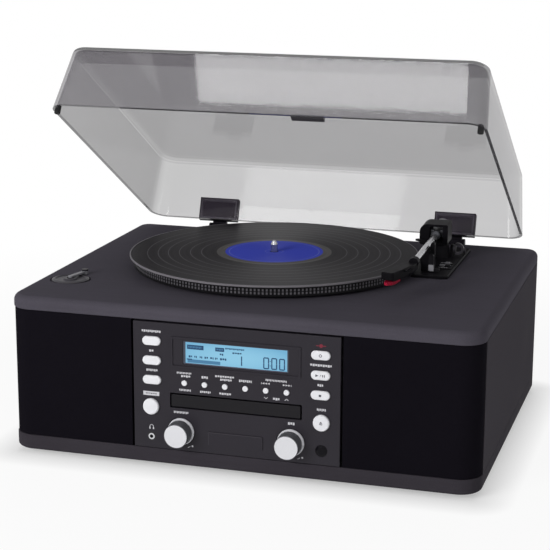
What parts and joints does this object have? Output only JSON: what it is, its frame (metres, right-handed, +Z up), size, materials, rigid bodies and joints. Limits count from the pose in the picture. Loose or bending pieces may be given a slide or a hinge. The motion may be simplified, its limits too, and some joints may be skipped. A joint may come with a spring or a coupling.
{
  "type": "turntable with cd recorder",
  "caption": "Record deck on a speaker cabinet with a disc tray, display, knobs and push buttons in its front, a tonearm, and a smoked hinged lid standing open.",
  "frame": {"origin": "middle of the cabinet's footprint, on the standing surface under the feet", "axes": "+X to the right seen from the front, +Y to the back, +Z up"},
  "size_m": [0.466, 0.4, 0.3901],
  "materials": {
    "leatherette": "fine grained wrap, satin",
    "black_board": "matt black",
    "rubber": "matt",
    "grille_cloth": "tight woven cloth",
    "speaker_black": "matt",
    "panel_grey": "fine metallic satin",
    "display": "lit window behind a clear front",
    "chrome": "polished",
    "sensor_black": "gloss",
    "board_green": "solder mask",
    "button_white": "satin white",
    "knob_silver": "satin silver white",
    "tray_black": "matt",
    "gear_white": "moulded",
    "platter_black": "satin black with light strobe marks",
    "vinyl": "grooved, blue label",
    "steel": "turned",
    "brass": "turned",
    "arm_black": "satin",
    "arm_metal": "satin anodised",
    "stylus_red": "gloss",
    "lever_grey": "satin",
    "adapter_grey": "satin",
    "smoked": "smoked clear plastic",
    "hinge_black": "satin",
    "socket_black": "matt with metal contacts"
  },
  "bodies": {
    "cabinet": {"top_deck": "leatherette", "cabinet_carcass": "leatherette", "base_board": "leatherette", "rear_panel": "black_board", "feet": "rubber", "speaker_grilles": "grille_cloth", "speakers": "speaker_black", "front_panel": "panel_grey", "lcd_display": "display", "headphone_jack": "chrome", "remote_sensor": "sensor_black", "circuit_boards": "board_green", "loader_chassis": "tray_black", "turntable_chassis": "steel", "motor": "steel", "drive_belt": "rubber", "tonearm_base": "arm_black", "adapter": "adapter_grey", "hinge_brackets": "hinge_black", "rear_sockets": "socket_black"},
    "lid": {"lid": "smoked", "lid_bumpers": "rubber", "lid_hinges": "hinge_black"},
    "platter": {"platter": "platter_black", "record": "vinyl", "spindle": "steel"},
    "pulley": {"motor_pulley": "brass"},
    "arm_carrier": {"arm_gimbal": "arm_black"},
    "tonearm": {"arm_tube": "arm_metal", "arm_counterweight": "steel", "headshell": "arm_black", "cartridge": "arm_black", "stylus": "stylus_red"},
    "rest_clip": {"rest_clip": "lever_grey"},
    "cue_lever": {"cue_lever": "lever_grey"},
    "cue_platform": {"cue_platform": "arm_black"},
    "speed_switch": {"speed_switch": "lever_grey"},
    "autostop_switch": {"autostop_switch": "lever_grey"},
    "adapter_lever": {"adapter_lever": "lever_grey"},
    "tray": {"cd_tray": "tray_black", "tray_bezel": "panel_grey"},
    "loading_gear": {"loading_gear": "gear_white"},
    "disc_hub": {"disc_hub": "tray_black"},
    "optical_pickup": {"optical_pickup": "speaker_black"},
    "level_knob": {"level_knob": "knob_silver"},
    "volume_knob": {"volume_knob": "knob_silver"},
    "mode_button_top": {"mode_button_top": "button_white"},
    "mode_button_middle": {"mode_button_middle": "button_white"},
    "mode_button_bottom": {"mode_button_bottom": "button_white"},
    "record_button": {"record_button": "button_white"},
    "play_button": {"play_button": "button_white"},
    "stop_button": {"stop_button": "button_white"},
    "power_button": {"power_button": "button_white"},
    "eject_button": {"eject_button": "button_white"},
    "small_button_1": {"small_button_1": "button_white"},
    "small_button_2": {"small_button_2": "button_white"},
    "small_button_3": {"small_button_3": "button_white"},
    "small_button_4": {"small_button_4": "button_white"},
    "small_button_5": {"small_button_5": "button_white"},
    "small_button_6": {"small_button_6": "button_white"}
  },
  "joints": [
    {"name": "lid_hinge", "type": "hinge", "parent": "cabinet", "child": "lid", "pos_m": [0, 0.185, 0.1606], "axis": [-1, 0, 0], "range_deg": [-30.1, 0]},
    {"name": "platter_spin", "type": "hinge", "parent": "cabinet", "child": "platter", "pos_m": [-0.0218, 0.0176, 0.1732], "axis": [0, 0, -1], "continuous": true},
    {"name": "pulley_spin", "type": "hinge", "parent": "cabinet", "child": "pulley", "pos_m": [-0.08897, 0.08478, 0.16], "axis": [0, 0, -1], "continuous": true},
    {"name": "tonearm_swing", "type": "hinge", "parent": "cabinet", "child": "arm_carrier", "pos_m": [0.1354, 0.0995, 0.189], "axis": [0, 0, -1], "range_deg": [0, 43]},
    {"name": "tonearm_lift", "type": "hinge", "parent": "arm_carrier", "child": "tonearm", "pos_m": [0.1354, 0.0995, 0.189], "axis": [-0.9995, -0.0314, 0], "range_deg": [-0.2, 9]},
    {"name": "rest_clip_turn", "type": "hinge", "parent": "cabinet", "child": "rest_clip", "pos_m": [0.1438, 0.02553, 0.18], "axis": [0, -1, 0], "range_deg": [0, 175]},
    {"name": "cue_lever_turn", "type": "hinge", "parent": "cabinet", "child": "cue_lever", "pos_m": [0.149, 0.105, 0.1715], "axis": [1, 0, 0], "range_deg": [0, 35]},
    {"name": "cue_platform_lift", "type": "slide", "parent": "cabinet", "child": "cue_platform", "axis": [0, 0, 1], "range_m": [-0.004, 0]},
    {"name": "speed_switch_slide", "type": "slide", "parent": "cabinet", "child": "speed_switch", "axis": [1, 0, 0], "range_m": [-0.007, 0.002]},
    {"name": "autostop_switch_slide", "type": "slide", "parent": "cabinet", "child": "autostop_switch", "axis": [1, 0, 0], "range_m": [0, 0.004]},
    {"name": "adapter_lever_turn", "type": "hinge", "parent": "cabinet", "child": "adapter_lever", "pos_m": [-0.19417, -0.07993, 0.163], "axis": [0, 0, 1], "range_deg": [0, 90]},
    {"name": "tray_slide", "type": "slide", "parent": "cabinet", "child": "tray", "axis": [0, -1, 0], "range_m": [0, 0.135]},
    {"name": "loading_gear_turn", "type": "hinge", "parent": "cabinet", "child": "loading_gear", "pos_m": [0.0509, -0.1602, 0.064], "axis": [0, 0, -1], "range_deg": [0, 1106]},
    {"name": "disc_hub_spin", "type": "hinge", "parent": "cabinet", "child": "disc_hub", "pos_m": [0, -0.117, 0.066], "axis": [0, 0, 1], "continuous": true},
    {"name": "optical_pickup_slide", "type": "slide", "parent": "cabinet", "child": "optical_pickup", "axis": [0, 1, 0], "range_m": [0, 0.035]},
    {"name": "level_knob_turn", "type": "hinge", "parent": "cabinet", "child": "level_knob", "pos_m": [-0.0545, -0.1825, 0.0395], "axis": [0, 1, 0], "range_deg": [-150, 150]},
    {"name": "volume_knob_turn", "type": "hinge", "parent": "cabinet", "child": "volume_knob", "pos_m": [0.0545, -0.1825, 0.0395], "axis": [0, 1, 0], "range_deg": [-150, 150]},
    {"name": "mode_button_top_press", "type": "slide", "parent": "cabinet", "child": "mode_button_top", "axis": [0, 1, 0], "range_m": [0, 0.0012], "stiffness_N_per_m": 400},
    {"name": "mode_button_middle_press", "type": "slide", "parent": "cabinet", "child": "mode_button_middle", "axis": [0, 1, 0], "range_m": [0, 0.0012], "stiffness_N_per_m": 400},
    {"name": "mode_button_bottom_press", "type": "slide", "parent": "cabinet", "child": "mode_button_bottom", "axis": [0, 1, 0], "range_m": [0, 0.0012], "stiffness_N_per_m": 400},
    {"name": "record_button_press", "type": "slide", "parent": "cabinet", "child": "record_button", "axis": [0, 1, 0], "range_m": [0, 0.0012], "stiffness_N_per_m": 400},
    {"name": "play_button_press", "type": "slide", "parent": "cabinet", "child": "play_button", "axis": [0, 1, 0], "range_m": [0, 0.0012], "stiffness_N_per_m": 400},
    {"name": "stop_button_press", "type": "slide", "parent": "cabinet", "child": "stop_button", "axis": [0, 1, 0], "range_m": [0, 0.0012], "stiffness_N_per_m": 400},
    {"name": "power_button_press", "type": "slide", "parent": "cabinet", "child": "power_button", "axis": [0, 1, 0], "range_m": [0, 0.0012], "stiffness_N_per_m": 400},
    {"name": "eject_button_press", "type": "slide", "parent": "cabinet", "child": "eject_button", "axis": [0, 1, 0], "range_m": [0, 0.0012], "stiffness_N_per_m": 400},
    {"name": "small_button_1_press", "type": "slide", "parent": "cabinet", "child": "small_button_1", "axis": [0, 1, 0], "range_m": [0, 0.0008], "stiffness_N_per_m": 400},
    {"name": "small_button_2_press", "type": "slide", "parent": "cabinet", "child": "small_button_2", "axis": [0, 1, 0], "range_m": [0, 0.0008], "stiffness_N_per_m": 400},
    {"name": "small_button_3_press", "type": "slide", "parent": "cabinet", "child": "small_button_3", "axis": [0, 1, 0], "range_m": [0, 0.0008], "stiffness_N_per_m": 400},
    {"name": "small_button_4_press", "type": "slide", "parent": "cabinet", "child": "small_button_4", "axis": [0, 1, 0], "range_m": [0, 0.0008], "stiffness_N_per_m": 400},
    {"name": "small_button_5_press", "type": "slide", "parent": "cabinet", "child": "small_button_5", "axis": [0, 1, 0], "range_m": [0, 0.0008], "stiffness_N_per_m": 400},
    {"name": "small_button_6_press", "type": "slide", "parent": "cabinet", "child": "small_button_6", "axis": [0, 1, 0], "range_m": [0, 0.0008], "stiffness_N_per_m": 400}
  ],
  "couplings": [
    {"joint": "pulley_spin", "follows": "platter_spin", "ratio": 12.8},
    {"joint": "cue_platform_lift", "follows": "cue_lever_turn", "m_per_rad": -0.00654},
    {"joint": "loading_gear_turn", "follows": "tray_slide", "rad_per_m": 142.86}
  ]
}
